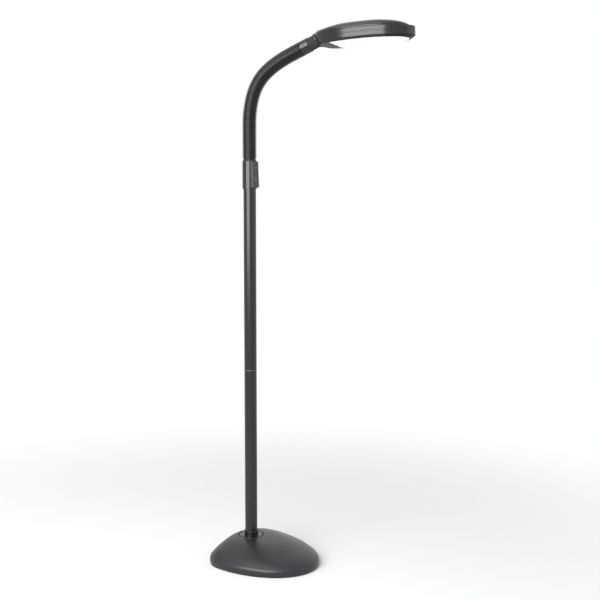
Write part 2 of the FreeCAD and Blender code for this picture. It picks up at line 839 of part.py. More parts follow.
def top_cover():
    cover = crown_form(0.0).fuse(slice_between(throat_form(), head_wall_top, head_crown_top))
    cover = cover.cut(crown_form(head_wall))
    low = stack_level(4)
    for x, y in head_screw_places():
        post = cylinder(head_post_radius, head_crown_top - head_wall_top, head_wall_top, x, y)
        post = post.common(crown_form(head_wall / 2))
        foot = cylinder(head_post_radius, head_wall_top + 1.0 - low, low, x, y)
        cover = cover.fuse(post.fuse(foot)).cut(cylinder(head_screw_radius, head_screw_length, low - 1.0, x, y))
    return cover.cut(socket_bore()).removeSplitter()


def side_band():
    band = slab(head_ring(0.0, head_seam, 0.0), head_wall_top - head_seam)
    band = band.fuse(slice_between(throat_form(), head_seam, head_wall_top))
    band = band.cut(hollow_between(head_seam, head_wall_top - band_roof, head_wall, bezel_tip_chamfer * 0.62))
    band = band.cut(hollow_between(head_wall_top - band_roof, head_wall_top, head_wall + ledge,
                                   tip_ledge + head_wall / 2))
    return band.cut(socket_bore())


def panel_outline(grow, z):
    points = [p for p in head_outline(head_root, panel_tip + grow, panel_half_width + grow,
                                      head_root_width - head_half_width + panel_half_width + grow,
                                      head_widest_x, z) if p.x > panel_start + 1.0]
    half = panel_start_half_width + grow
    start = V(panel_start - grow, -half, z)
    end = V(panel_start - grow, half, z)
    curve = Part.BSplineCurve()
    curve.interpolate([start] + points + [end])
    return Part.Wire([curve.toShape(), Part.LineSegment(end, start).toShape()])


def bezel():
    lower = Part.makeLoft([head_ring(bezel_chamfer, head_bottom, bezel_tip_chamfer),
                           head_ring(0.0, head_wall_bottom, 0.0)], True, True)
    upper = slab(head_ring(0.0, head_wall_bottom, 0.0), head_seam - head_wall_bottom)
    body = lower.fuse(upper).fuse(slice_between(throat_form(), head_bottom, head_seam))
    body = body.cut(hollow_between(head_bottom + bezel_floor, head_seam, bezel_wall, bezel_tip_chamfer * 0.62))
    body = body.cut(slab(panel_outline(seat_gap, head_bottom - 1.0), bezel_floor + 2.0))
    return body.cut(socket_bore())


def diffuser():
    """Pane that fills the bezel's opening and stands a little proud, with a flange on the bezel's floor."""
    low = head_bottom - diffuser_proud
    high = head_bottom + bezel_floor
    pane = slab(panel_outline(0.0, low), high - low)
    return pane.fuse(slab(panel_outline(diffuser_flange, high), diffuser_flange_thickness))


def stack_level(layer):
    """Height of each layer above the diffuser: guide, LEDs, LED board, heat spreader, cover posts."""
    heights = (guide_thickness + led_gap, led_height, led_board_thickness, spreader_thickness)
    return head_bottom + bezel_floor + diffuser_flange_thickness + sum(heights[:layer])


def light_guide():
    return slab(panel_outline(0.0, stack_level(0)), guide_thickness)


def led_places():
    places = []
    x = panel_start + led_margin
    while x < panel_tip - led_margin:
        front = max(x - head_widest_x, 0.0) / (panel_tip - head_widest_x)
        limit = (panel_half_width - board_inset * 3) * math.sqrt(1 - front ** 2)
        for row in range(-led_rows, led_rows + 1):
            if abs(row) * led_pitch_y < limit - board_inset:
                places.append((x, row * led_pitch_y))
        x += led_pitch_x
    return places


def leds():
    z = stack_level(1)
    return Part.makeCompound([box(x - led_length / 2, x + led_length / 2, y - led_width / 2, y + led_width / 2,
                                  z, z + led_height) for x, y in led_places()])


def head_screw_places():
    """Midway between LEDs, near both ends of the board."""
    return [(panel_start + led_margin + led_pitch_x * column, led_pitch_y * row)
            for column in (1.5, 6.5) for row in (-1.5, 1.5)]


def led_board():
    board = slab(panel_outline(-board_inset, stack_level(2)), led_board_thickness)
    for x, y in head_screw_places():
        board = board.cut(cylinder(head_screw_radius, led_board_thickness * 2, stack_level(2) - 0.5, x, y))
    return board


def heat_spreader():
    spreader = slab(panel_outline(-board_inset / 2, stack_level(3)), spreader_thickness)
    for x, y in head_screw_places():
        spreader = spreader.cut(cylinder(head_screw_radius, spreader_thickness * 2, stack_level(3) - 0.5, x, y))
    return spreader


def head_screws():
    screws = []
    low = stack_level(2)
    for x, y in head_screw_places():
        head = cylinder(head_screw_head, 1.3, low - 1.3, x, y).cut(cylinder(0.9, 0.7, low - 1.3, x, y))
        screws.append(head.fuse(cylinder(head_screw_radius, head_screw_length, low - 0.3, x, y)))
    return Part.makeCompound(screws)


def build():
    os.makedirs("parts", exist_ok=True)
    save("base_shell", base_shell())
    save("bottom_cover", bottom_cover())
    save("grip_pad", grip_pad())
    save("cover_screws", cover_screws())
    save("base_weight", base_weight())
    save("pole_socket", pole_socket())
    save("socket_screws", socket_screws())
    save("escutcheon", escutcheon())
    save("foot_collar", foot_collar())
    save("cord_bushing", cord_bushing())
    save("inside_cord", inside_cord())
    save("lower_pole", lower_pole())
    save("upper_pole", upper_pole())
    save("pole_coupler", pole_coupler())
    save("collar_housing", collar_housing())
    save("control_pad", control_pad())
    for name, place in zip(("power_button", "left_button", "right_button", "mode_button"), button_places()):
        save(name, push_button(*place))
    save("control_board", control_board())
    save("switches", switches())
    save("board_screws", board_screws())
    save("neck_root", neck_root_fitting())
    save("stem_nut", stem_nut())
    frames = neck_frames()
    link = neck_link()
    for k in range(link_count):
        save("neck_link_%02d" % (k + 1), put(link, frames[k]))
    save("ferrule", put(ferrule(), frames[-1]))
    save("seal_ring", put(seal_ring(), frames[-1]))
    save("ferrule_nut", put(ferrule_nut(), frames[-1]))
    save("head_top_cover", to_head(top_cover()))
    save("head_side_band", to_head(side_band()))
    save("head_bezel", to_head(bezel()))
    save("diffuser", to_head(diffuser()))
    save("light_guide", to_head(light_guide()))
    save("leds", to_head(leds()))
    save("led_board", to_head(led_board()))
    save("heat_spreader", to_head(heat_spreader()))
    save("head_screws", to_head(head_screws()))


build()
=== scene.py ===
import bpy, bmesh, json
import numpy as np
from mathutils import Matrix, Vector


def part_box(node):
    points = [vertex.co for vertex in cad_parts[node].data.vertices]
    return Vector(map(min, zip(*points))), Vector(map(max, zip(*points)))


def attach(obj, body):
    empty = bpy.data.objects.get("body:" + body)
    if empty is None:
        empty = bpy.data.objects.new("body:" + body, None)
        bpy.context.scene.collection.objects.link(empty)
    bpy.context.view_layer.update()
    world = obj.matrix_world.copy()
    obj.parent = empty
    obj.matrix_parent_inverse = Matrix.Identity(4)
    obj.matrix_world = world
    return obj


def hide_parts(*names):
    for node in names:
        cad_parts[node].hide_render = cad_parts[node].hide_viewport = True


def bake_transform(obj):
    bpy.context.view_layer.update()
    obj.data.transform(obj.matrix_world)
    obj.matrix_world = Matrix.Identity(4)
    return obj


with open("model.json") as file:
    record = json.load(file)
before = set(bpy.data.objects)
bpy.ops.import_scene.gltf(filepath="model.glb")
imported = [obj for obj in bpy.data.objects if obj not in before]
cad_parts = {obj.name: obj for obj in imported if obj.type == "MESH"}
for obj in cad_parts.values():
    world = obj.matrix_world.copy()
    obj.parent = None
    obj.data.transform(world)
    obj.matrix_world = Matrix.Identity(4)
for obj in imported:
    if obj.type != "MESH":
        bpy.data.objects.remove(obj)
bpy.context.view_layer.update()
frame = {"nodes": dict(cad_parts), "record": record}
mm = 0.001      # every size in the dictionaries below is in millimetres
print("frame loaded:", len(frame["nodes"]), "CAD nodes")


# making surfaces

def gridFaces(rows, cols, first=0, closeRows=True, closeCols=True):
    # quads joining point (i, j) to (i, j+1), (i+1, j+1) and (i+1, j), where a closed side wraps round to 0
    i = np.arange(rows if closeRows else rows - 1)[:, None]
    j = np.arange(cols if closeCols else cols - 1)[None, :]
    down = (i + 1) % rows
    over = (j + 1) % cols
    corners = [i * cols + j, i * cols + over, down * cols + over, down * cols + j]
    return first + np.stack([np.broadcast_to(c, (i.size, j.size)) for c in corners], -1).reshape(-1, 4)


def makePiece(name, points, faces, material):
    # points are scaled to metres; doubled points at seams and poles are merged, and the faces turned outwards
    mesh = bpy.data.meshes.new(name)
    mesh.from_pydata((np.asarray(points).reshape(-1, 3) * mm).tolist(), [], np.asarray(faces).tolist())
    work = bmesh.new()
    work.from_mesh(mesh)
    bmesh.ops.remove_doubles(work, verts=work.verts, dist=1e-6)
    bmesh.ops.recalc_face_normals(work, faces=work.faces)
    work.to_mesh(mesh)
    work.free()
    mesh.polygons.foreach_set("use_smooth", np.ones(len(mesh.polygons), bool))
    mesh.materials.append(material)
    piece = bpy.data.objects.new(name, mesh)
    bpy.context.scene.collection.objects.link(piece)
    return piece


def ringPiece(name, rings, material, closeRows=True):
    # a stack of closed rings, (rows, columns, 3), joined ring to ring
    return makePiece(name, rings, gridFaces(*rings.shape[:2], closeRows=closeRows), material)


def roundRings(rings, radii, steps=5, support=0.3):
    # each corner P of a closed profile becomes (1-s)^2 A + 2s(1-s) P + s^2 B, with A and B on its two sides at
    # radius / tan(half the angle) from P, and one more point beyond A and B keeps the flat sides flat
    p = np.asarray(rings, float)
    r = np.reshape(np.asarray(radii, float), (-1,) + (1,) * (p.ndim - 1))
    u = np.roll(p, 1, 0) - p
    v = np.roll(p, -1, 0) - p
    lu = np.linalg.norm(u, axis=-1, keepdims=True)
    lv = np.linalg.norm(v, axis=-1, keepdims=True)
    u, v = u / np.maximum(lu, 1e-9), v / np.maximum(lv, 1e-9)
    half = np.arccos(np.clip((u * v).sum(-1, keepdims=True), -0.9999, 0.9999)) / 2
    shorter = np.minimum(lu, lv)
    t = np.minimum(r / np.tan(half), 0.42 * shorter)
    far = np.minimum(t + support, 0.48 * shorter)
    s = np.linspace(0, 1, steps).reshape((-1,) + (1,) * p.ndim)
    curve = (1 - s) ** 2 * (p + u * t) + 2 * s * (1 - s) * p + s ** 2 * (p + v * t)
    curve = np.concatenate([(p + u * far)[None], curve, (p + v * far)[None]])
    return np.moveaxis(curve, 0, 1).reshape((-1,) + p.shape[1:])


def turnRound(profile, segments):
    # (radius, height) becomes (r cos a, r sin a, h) for a full turn of a
    profile = np.asarray(profile, float)
    a = np.linspace(0, 2 * np.pi, segments, endpoint=False)[None, :]
    r, h = profile[:, :1], profile[:, 1:]
    return np.stack([r * np.cos(a), r * np.sin(a), h + 0 * a], -1)


def smoothTable(x, xs, ys):
    # cubic pieces through (xs, ys) whose slopes come from the neighbours: h00 y0 + h10 d m0 + h01 y1 + h11 d m1
    xs, ys = np.asarray(xs, float), np.asarray(ys, float)
    slope = np.gradient(ys, xs, axis=0)
    x = np.asarray(x, float)
    i = np.clip(np.searchsorted(xs, x, side="right") - 1, 0, len(xs) - 2)
    d = (xs[i + 1] - xs[i]).reshape(x.shape + (1,) * (ys.ndim - 1))
    u = ((x - xs[i]) / (xs[i + 1] - xs[i])).reshape(d.shape)
    return ((2 * u ** 3 - 3 * u ** 2 + 1) * ys[i] + (u ** 3 - 2 * u ** 2 + u) * d * slope[i]
            + (3 * u ** 2 - 2 * u ** 3) * ys[i + 1] + (u ** 3 - u ** 2) * d * slope[i + 1])


def ease(x):
    # 0 below 0, 1 above 1, and 3x^2 - 2x^3 between
    x = np.clip(x, 0, 1)
    return x * x * (3 - 2 * x)


# finishes

def finish(name, colour, roughness, spread=0.05, grain=1200.0, bump=0.05, metal=0.0, specular=0.5, coat=0.0,
           shade=0.25, streak=None):
    # moulded or painted surface: fine noise for the grain, wide noise that drifts colour and gloss
    m = bpy.data.materials.new(name)
    m.use_nodes = True
    n, link = m.node_tree.nodes, m.node_tree.links.new
    shader = n["Principled BSDF"]
    shader.inputs["Metallic"].default_value = metal
    shader.inputs["Specular IOR Level"].default_value = specular
    shader.inputs["Coat Weight"].default_value = coat
    shader.inputs["Coat Roughness"].default_value = 0.15
    place = n.new("ShaderNodeTexCoord")
    here = place.outputs["Object"]
    if streak:
        stretch = n.new("ShaderNodeMapping")
        stretch.inputs["Scale"].default_value = streak
        link(here, stretch.inputs["Vector"])
        here = stretch.outputs["Vector"]
    drift = n.new("ShaderNodeTexNoise")
    drift.inputs["Scale"].default_value = grain / 30
    drift.inputs["Detail"].default_value = 4.0
    link(here, drift.inputs["Vector"])
    tone = n.new("ShaderNodeValToRGB")
    tone.color_ramp.elements[0].position = 0.3
    tone.color_ramp.elements[1].position = 0.7
    tone.color_ramp.elements[0].color = (*[c * (1 - shade) for c in colour], 1)
    tone.color_ramp.elements[1].color = (*[min(c * (1 + shade), 1) for c in colour], 1)
    link(drift.outputs["Fac"], tone.inputs["Fac"])
    link(tone.outputs["Color"], shader.inputs["Base Color"])
    gloss = n.new("ShaderNodeMapRange")
    gloss.inputs["To Min"].default_value = roughness - spread
    gloss.inputs["To Max"].default_value = roughness + spread
    link(drift.outputs["Fac"], gloss.inputs["Value"])
    link(gloss.outputs["Result"], shader.inputs["Roughness"])
    fine = n.new("ShaderNodeTexNoise")
    fine.inputs["Scale"].default_value = grain
    fine.inputs["Detail"].default_value = 3.0
    link(here, fine.inputs["Vector"])
    relief = n.new("ShaderNodeBump")
    relief.inputs["Strength"].default_value = bump
    relief.inputs["Distance"].default_value = 0.0002
    link(fine.outputs["Fac"], relief.inputs["Height"])
    link(relief.outputs["Normal"], shader.inputs["Normal"])
    return m


finishes = dict(
    basePlastic=finish("satin black base plastic", (0.009, 0.009, 0.0105), 0.34, grain=1500, bump=0.25),
    headPlastic=finish("satin black head plastic", (0.006, 0.006, 0.0065), 0.17, grain=1400, bump=0.06),
    bezelPlastic=finish("matt black bezel plastic", (0.009, 0.009, 0.0095), 0.42, grain=1500, bump=0.2,
                        specular=0.14),
    collarPlastic=finish("gloss black collar plastic", (0.006, 0.006, 0.0065), 0.15, grain=1400, bump=0.05),
    padPlastic=finish("dark grey pad face", (0.028, 0.028, 0.03), 0.34, grain=1600, bump=0.08),
    buttonPlastic=finish("black button plastic", (0.02, 0.02, 0.022), 0.3, grain=1600, bump=0.06),
    poleEnamel=finish("black pole enamel", (0.005, 0.005, 0.0052), 0.2, grain=420, bump=0.07),
    neckSleeve=finish("black ribbed sleeve", (0.006, 0.006, 0.0065), 0.2, grain=1500, bump=0.06),
    trimBlack=finish("gloss black trim", (0.006, 0.006, 0.0065), 0.16, grain=1300, bump=0.05),
    jointSteel=finish("dark joint steel", (0.14, 0.14, 0.145), 0.3, grain=900, bump=0.05, metal=0.9),
    gripRubber=finish("grip rubber", (0.022, 0.022, 0.022), 0.78, grain=1100, bump=0.5, specular=0.3),
    castIron=finish("cast iron weight", (0.09, 0.088, 0.085), 0.62, grain=700, bump=0.7, metal=0.6),
    zincScrew=finish("zinc screws", (0.55, 0.56, 0.58), 0.3, grain=900, bump=0.05, metal=1.0),
    plainSteel=finish("turned steel fittings", (0.42, 0.42, 0.43), 0.28, grain=900, bump=0.06, metal=1.0,
                      streak=(1, 1, 14)),
    cordJacket=finish("black cord jacket", (0.02, 0.02, 0.021), 0.5, grain=900, bump=0.15),
    boardGreen=finish("green circuit board", (0.012, 0.09, 0.04), 0.38, grain=900, bump=0.1, coat=0.3),
    switchBlack=finish("switch body", (0.05, 0.05, 0.05), 0.45, grain=900, bump=0.08),
    clearGuide=finish("clear acrylic guide", (0.86, 0.9, 0.92), 0.08, spread=0.02, grain=500, bump=0.02,
                      shade=0.03),
    ledWhite=finish("led phosphor", (0.9, 0.8, 0.42), 0.42, grain=900, bump=0.1, shade=0.08),
    boardAluminium=finish("aluminium led board", (0.88, 0.88, 0.88), 0.42, grain=700, bump=0.05, metal=0.2,
                          shade=0.04),
    spreaderAluminium=finish("brushed aluminium spreader", (0.68, 0.69, 0.7), 0.34, grain=700, bump=0.12,
                             metal=1.0, shade=0.08, streak=(1, 14, 1)),
    iconPrint=finish("pale grey icon print", (0.5, 0.5, 0.51), 0.5, grain=2000, bump=0.05, shade=0.08),
)
print("finishes ready:", len(finishes))


def opalPane():
    # milky white pane: soft white body with a little scatter, a faint pearl drift and an even glow from the LEDs
    m = finish("opal diffuser", (0.8, 0.8, 0.8), 0.32, spread=0.04, grain=900, bump=0.05, shade=0.02)
    shader = m.node_tree.nodes["Principled BSDF"]
    shader.inputs["Subsurface Weight"].default_value = 0.2
    shader.inputs["Subsurface Radius"].default_value = (0.004, 0.004, 0.004)
    shader.inputs["Emission Color"].default_value = (1.0, 0.99, 0.97, 1)
    shader.inputs["Emission Strength"].default_value = 0.2
    return m


finishes["opal"] = opalPane()

# base

base = dict(front=179.1, back=59.6, halfWidth=114.8, widestX=15.2, frontPower=2.03, backPower=3.0, rimLift=0.8,
            rimDraft=1.2, sideHeight=9.9, shoulderHeight=28.3, shoulderInset=9.8, slope=0.04, topHeight=51.1,
            flatRadius=35.0, recessRadius=29.6, recessDepth=3.2, holeRadius=16.7, wall=3.0, columns=256)


def eggOutline(angle, inset):
    # x = widest + reach |cos|^(2/p), y = half-width |sin|^(2/p), with one reach and power ahead and others behind
    c, s = np.cos(angle), np.sin(angle)
    power = np.where(c > 0, base["frontPower"], base["backPower"])
    reach = np.where(c > 0, base["front"] - base["widestX"], base["back"] + base["widestX"])
    x = base["widestX"] + np.sign(c) * (reach - inset) * np.abs(c) ** (2 / power)
    return x, np.sign(s) * (base["halfWidth"] - inset) * np.abs(s) ** (2 / power)


def evenAngles(count):
    # the angles at which the outline's points lie evenly apart along it
    dense = np.linspace(0, 2 * np.pi, 6001)
    x, y = eggOutline(dense, 0.0)
    run = np.concatenate([[0], np.cumsum(np.hypot(np.diff(x), np.diff(y)))])
    return np.interp(np.linspace(0, run[-1], count, endpoint=False), run, dense)


def domeRings(wall):
    # foot, widest line, two side rings and the shoulder, then rings drawn towards the flat about the pole, whose
    # height is the shoulder's plus the rest times 1 - (1 - share)^1.7
    a = evenAngles(base["columns"])
    rings = []
    for inset, z in ((base["rimDraft"], base["rimLift"]), (0.0, base["sideHeight"])):
        x, y = eggOutline(a, inset + wall)
        rings.append(np.stack([x, y, z + 0 * x], -1))
    sx, sy = eggOutline(a, base["shoulderInset"])
    shoulder = base["shoulderHeight"] - base["slope"] * (sx - base["widestX"])
    for share, rise in ((0.14, 0.46), (0.68, 0.8)):
        x, y = eggOutline(a, base["shoulderInset"] * share + wall)
        rings.append(np.stack([x, y, base["sideHeight"] + (shoulder - wall - base["sideHeight"]) * rise], -1))
    for share in (0.04, 0.3, 0.65, 1.0):
        lift = 1 - (1 - share) ** 1.7
        x = sx + (base["flatRadius"] * np.cos(a) - sx) * share
        y = sy + (base["flatRadius"] * np.sin(a) - sy) * share
        rings.append(np.stack([x, y, shoulder + (base["topHeight"] - shoulder) * lift - wall], -1))
    rings = np.array(rings)
    run = np.concatenate([[0], np.cumsum(np.linalg.norm(np.diff(rings, axis=0), axis=-1).mean(1))])
    fine = np.interp(np.linspace(0, 7, 57), np.arange(8), run)
    return smoothTable(fine, run, rings)


def roundRing(radius, z):
    a = evenAngles(base["columns"])
    return np.stack([radius * np.cos(a), radius * np.sin(a), z + 0 * a], -1)


def buildBase():
    outer, inner = domeRings(0.0), domeRings(base["wall"])[::-1]
    top, floor = base["topHeight"], base["topHeight"] - base["recessDepth"]
    lip = np.array([roundRing(base["recessRadius"], top), roundRing(base["recessRadius"], floor),
                    roundRing(base["holeRadius"], floor), roundRing(base["holeRadius"], floor - base["wall"])])
    ends = np.array([outer[-1], *lip, inner[0]])
    lip = roundRings(ends, [0.0, 0.7, 0.5, 0.3, 0.3, 0.0])[7:-7]
    dome = ringPiece("baseDome", np.concatenate([outer, lip, inner]), finishes["basePlastic"])
    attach(dome, "stand")
    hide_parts("base_shell")
    print("base dome:", len(dome.data.polygons), "faces")


buildBase()

trim = dict(escutcheonRadius=27.4, escutcheonBottom=47.9, escutcheonHeight=3.2, collarRadius=16.3,
            collarBottom=51.7, collarTop=62.2, bore=14.4)


def buildTrim():
    low, high = trim["escutcheonBottom"], trim["escutcheonBottom"] + trim["escutcheonHeight"]
    plate = [(trim["bore"], low), (trim["escutcheonRadius"], low), (trim["escutcheonRadius"], high),
             (trim["collarRadius"] + 1.2, high + 0.45), (trim["bore"], high + 0.5)]
    ring = ringPiece("escutcheonRing", turnRound(roundRings(plate, [0.3, 0.3, 1.1, 0.4, 0.2]), 128),
                     finishes["trimBlack"])
    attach(ring, "stand")
    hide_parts("escutcheon")
    low, high = trim["collarBottom"], trim["collarTop"]
    cuff = [(trim["bore"], low), (trim["collarRadius"], low), (trim["collarRadius"], high), (trim["bore"], high)]
    rings = turnRound(roundRings(cuff, [0.2, 0.35, 1.5, 0.1]), 96)
    collar = ringPiece("footCollar", rings, finishes["trimBlack"])
    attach(collar, "stand")
    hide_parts("foot_collar")


buildTrim()

# pole

pole = dict(radius=14.3, wall=1.2, foot=19.4, joint=439.0, ring=2.2, ringProud=0.25, top=867.9,
            couplerLength=64.0)


def buildPole():
    inner, ringTop = pole["radius"] - pole["wall"], pole["joint"] + pole["ring"]
    for name, low, high in (("lower_pole", pole["foot"], pole["joint"]), ("upper_pole", ringTop, pole["top"])):
        profile = [(inner, low), (pole["radius"], low), (pole["radius"], high), (inner, high)]
        tube = ringPiece(name.replace("_pole", "Tube"), turnRound(roundRings(profile, [0.3, 0.35, 0.35, 0.3]), 96),
                         finishes["poleEnamel"])
        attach(tube, "stand")
        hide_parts(name)
    sleeve, half = inner - 0.1, pole["couplerLength"] / 2
    middle, proud = pole["joint"] + pole["ring"] / 2, pole["radius"] + pole["ringProud"]
    profile = [(sleeve - 2, middle - half), (sleeve, middle - half), (sleeve, pole["joint"]),
               (proud, pole["joint"]), (proud, ringTop), (sleeve, ringTop),
               (sleeve, middle + half), (sleeve - 2, middle + half)]
    joint = ringPiece("poleJoint", turnRound(roundRings(profile, [0.4, 0.6, 0.1, 0.5, 0.5, 0.1, 0.6, 0.4]), 96),
                      finishes["jointSteel"])
    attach(joint, "stand")
    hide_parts("pole_coupler")


buildPole()
print("pole built")

# gooseneck

neck = dict(root=921.2, stub=10.5, link=18.0, count=16, crest=16.2, valley=13.4, wall=1.1, pitch=4.5,
            sideTurn=17.0, runs=(0.0, 80.1, 140.3, 211.5, 270.3), leans=(0.0, 0.0, 16.3, 54.2, 67.1), columns=56)
neckRun = neck["stub"] + neck["link"] * (np.arange(neck["count"] + 1) + 0.5)
neckLean = np.interp(neckRun, neck["runs"], neck["leans"])
neckWay = np.stack([np.sin(np.radians(neckLean)), np.cos(np.radians(neckLean))], -1)
neckJoint = np.array([0.0, neck["root"] + neck["stub"]]) + neck["link"] * np.concatenate(
    [[[0.0, 0.0]], np.cumsum(neckWay[:-1], 0)])


def turnToSide(points):
    # (x, y, z) turned about Z by the neck's side turn
    c, s = np.cos(np.radians(neck["sideTurn"])), np.sin(np.radians(neck["sideTurn"]))
    x, y, z = np.moveaxis(np.asarray(points, float), -1, 0)
    return np.stack([x * c - y * s, x * s + y * c, z], -1)


def placeAlong(points, centre, lean):
    # turned about Y by the lean, moved to a centre in the neck's plane, and turned to the side
    c, s = np.cos(np.radians(lean)), np.sin(np.radians(lean))
    x, y, z = np.moveaxis(np.asarray(points, float), -1, 0)
    return turnToSide(np.stack([centre[0] + x * c + z * s, y, centre[1] - x * s + z * c], -1))


def ribbedSleeve(start, corner, end, length):
    # the centre line is (1-t)^2 start + 2t(1-t) corner + t^2 end; round it, the radius climbs from the valley to
    # a crest and back once in each pitch, and the inner wall comes back along the same line
    rise = np.array([0, 0.3, 1.1, 1.5, 3.0, 3.4, 4.2])
    height = np.array([0, 0.04, 0.88, 1, 1, 0.88, 0.04])
    ribs = int(round(length / neck["pitch"]))
    pitch = length / ribs
    along = (np.arange(ribs)[:, None] * pitch + rise * pitch / neck["pitch"]).ravel()
    radius = neck["valley"] + (neck["crest"] - neck["valley"]) * np.tile(height, ribs)
    along = np.concatenate([along, [length], np.linspace(length, 0, 5)]) / length
    radius = np.concatenate([radius, [neck["valley"]], np.full(5, neck["valley"] - neck["wall"])])
    t = along[:, None]
    centre = (1 - t) ** 2 * start + 2 * t * (1 - t) * corner + t ** 2 * end
    way = (1 - t) * (corner - start) + t * (end - corner)
    way /= np.linalg.norm(way, axis=1, keepdims=True)
    a = np.linspace(0, 2 * np.pi, neck["columns"], endpoint=False)[None, :]
    out, side = radius[:, None] * np.cos(a), radius[:, None] * np.sin(a)
    x = centre[:, :1] + way[:, 1:] * out
    z = centre[:, 1:] - way[:, :1] * out
    return turnToSide(np.stack([x, side, z], -1))


def buildNeck():
    half = neck["link"] / 2
    for k in range(neck["count"] + 1):
        corner = neckJoint[k]
        start = corner - half * neckWay[max(k - 1, 0)] if k else np.array([0.0, neck["root"] + 1.5])
        end = corner + (half if k < neck["count"] else 2.3) * neckWay[k]
        length = np.linalg.norm(corner - start) + np.linalg.norm(end - corner)
        rings = ribbedSleeve(start, corner, end, length)
        sleeve = ringPiece("neckSleeve%02d" % (k + 1), rings, finishes["neckSleeve"])
        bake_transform(sleeve)
    print("neck sleeves built")


buildNeck()

vertebra = dict(ballRadius=8.6, neckRadius=5.0, bore=2.6, cupBore=8.8, cupRadius=11.2, lip=4.0, webLow=6.0,
                webHigh=10.4, webRadius=12.2)


def ballLine(z, count=12):
    # from the bore at the ball's top round its widest line to where its neck leaves it, in (radius, height)
    top = np.arcsin(vertebra["bore"] / vertebra["ballRadius"])
    low = np.pi - np.arcsin(vertebra["neckRadius"] / vertebra["ballRadius"])
    a = np.linspace(top, low, count)
    return np.stack([vertebra["ballRadius"] * np.sin(a), z + vertebra["ballRadius"] * np.cos(a)], -1)


def cupLine(count=10):
    # the socket's inside, from its bore above the ball down to its lip
    top = np.arcsin(vertebra["bore"] / vertebra["cupBore"])
    low = np.arccos(-vertebra["lip"] / vertebra["cupBore"])
    a = np.linspace(low, top, count)
    return np.stack([vertebra["cupBore"] * np.sin(a), vertebra["cupBore"] * np.cos(a)], -1)


def buildVertebrae():
    v, link = vertebra, neck["link"]
    outside = [(v["neckRadius"], v["webHigh"]), (v["webRadius"], v["webHigh"]), (v["webRadius"], v["webLow"]),
               (v["cupRadius"], v["webLow"] - 1), (v["cupRadius"], -v["lip"])]
    profile = np.concatenate([ballLine(link), outside, cupLine()])
    for k in range(neck["count"]):
        bone = ringPiece("neckLink%02d" % (k + 1), placeAlong(turnRound(profile, 40), neckJoint[k], neckLean[k]),
                         finishes["switchBlack"])
        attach(bone, "link_%02d" % (k + 1))
        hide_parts("neck_link_%02d" % (k + 1))


buildVertebrae()

stem = dict(radius=8.0, bore=4.0, bottom=-13.3, seatRadius=14.1, seatTop=1.6, deck=2.9)


def buildStem():
    # swivel stem, seat disc and first ball in one turned piece
    top = neck["stub"]
    outside = [(vertebra["neckRadius"], stem["deck"]), (vertebra["webRadius"], stem["deck"]),
               (stem["seatRadius"] - 0.6, stem["seatTop"]),
               (stem["seatRadius"], 0.6), (stem["seatRadius"], 0.0), (stem["radius"], 0.0),
               (stem["radius"], stem["bottom"]), (stem["bore"], stem["bottom"]), (stem["bore"], 0.5),
               (vertebra["bore"], 1.5)]
    profile = np.concatenate([ballLine(top), outside])
    rings = turnRound(profile, 64) + np.array([0, 0, neck["root"]])
    foot = ringPiece("neckStem", turnToSide(rings), finishes["neckSleeve"])
    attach(foot, "neck_foot")
    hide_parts("neck_root")


buildStem()

ferrule = dict(low=2.15, radius=16.0, length=23.5, ringRadius=14.6, ringLength=16.0, mouthTilt=9.0, spigot=10.8,
               bore=2.6, threadRadius=8.0, seat=4.0, threadLength=12.0)


def buildFerrule():
    f, last, lean = ferrule, neckJoint[-1], neckLean[-1]
    tip = f["length"] + f["ringLength"] + f["seat"]
    outside = [(vertebra["cupRadius"], -vertebra["lip"]), (vertebra["cupRadius"], f["low"]), (13.2, f["low"]),
               (f["radius"], f["low"] + 1.2), (f["radius"], f["length"]), (f["spigot"], f["length"]),
               (f["spigot"], tip), (f["threadRadius"], tip), (f["threadRadius"], tip + f["threadLength"]),
               (f["bore"], tip + f["threadLength"])]
    profile = np.concatenate([roundRings(outside, [0.2, 0.2, 0.3, 0.9, 1.2, 0.3, 0.6, 0.3, 0.6, 0.2])[3:],
                              cupLine()[::-1]])
    sleeve = ringPiece("neckFerrule", placeAlong(turnRound(profile, 96), last, lean), finishes["collarPlastic"])
    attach(sleeve, "head")
    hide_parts("ferrule")
    low, high = f["length"], f["length"] + f["ringLength"] + 1.0      # its end is hidden in the mouth
    rings = turnRound(roundRings([(f["spigot"] + 0.1, low), (f["ringRadius"], low), (f["ringRadius"], high),
                                  (f["spigot"] + 0.1, high)], [0.1, 0.3, 0.2, 0.1]), 96)
    upper = ease((rings[..., 2] - low - 1) / (high - low - 2))
    rings[..., 2] += upper * rings[..., 0] * np.tan(np.radians(f["mouthTilt"]))      # slants to meet the mouth
    seal = ringPiece("mouthSeal", placeAlong(rings, last, lean), finishes["gripRubber"])
    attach(seal, "head")
    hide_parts("seal_ring")


buildFerrule()
print("neck built")

# lamp head

